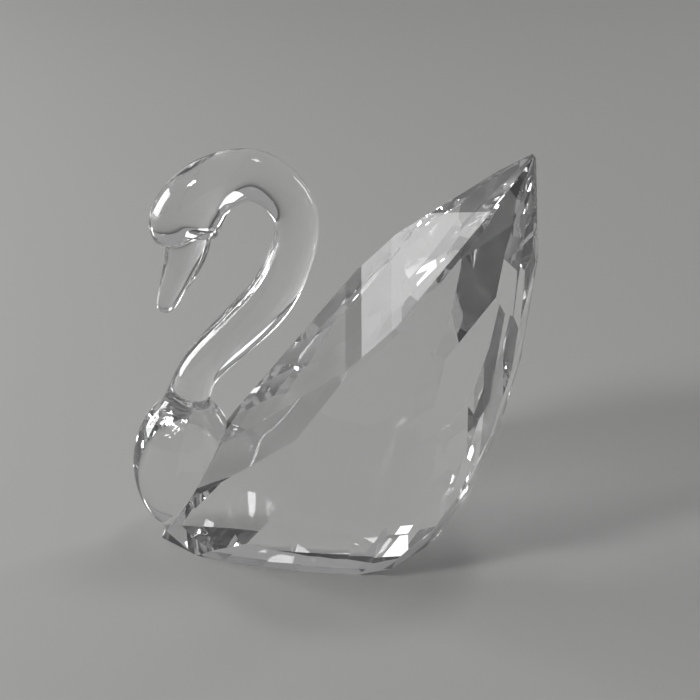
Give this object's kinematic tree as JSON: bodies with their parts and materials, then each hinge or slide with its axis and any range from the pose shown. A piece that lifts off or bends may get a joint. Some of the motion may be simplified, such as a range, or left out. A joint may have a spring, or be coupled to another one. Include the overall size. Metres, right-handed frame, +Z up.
{
  "type": "crystal glass swan figurine",
  "caption": "Faceted clear crystal swan: a cut leaf-shaped body on a flat base facet, with a smooth curved neck and head bonded to its front.",
  "frame": {"origin": "on the base facet, in the plane of symmetry, midway between the breast and the tail", "axes": "+Z up out of the base facet, -X towards the breast and head, +X towards the tail, Y = 0 is the plane of symmetry"},
  "size_m": [0.0587, 0.0324, 0.0625],
  "materials": {
    "body_crystal": "cut and polished clear crystal",
    "neck_crystal": "fire-polished clear crystal",
    "clear_adhesive": "clear cured adhesive"
  },
  "bodies": {
    "root": {"faceted_body": "body_crystal", "neck_and_head": "neck_crystal", "adhesive_bond": "clear_adhesive"}
  },
  "joints": []
}
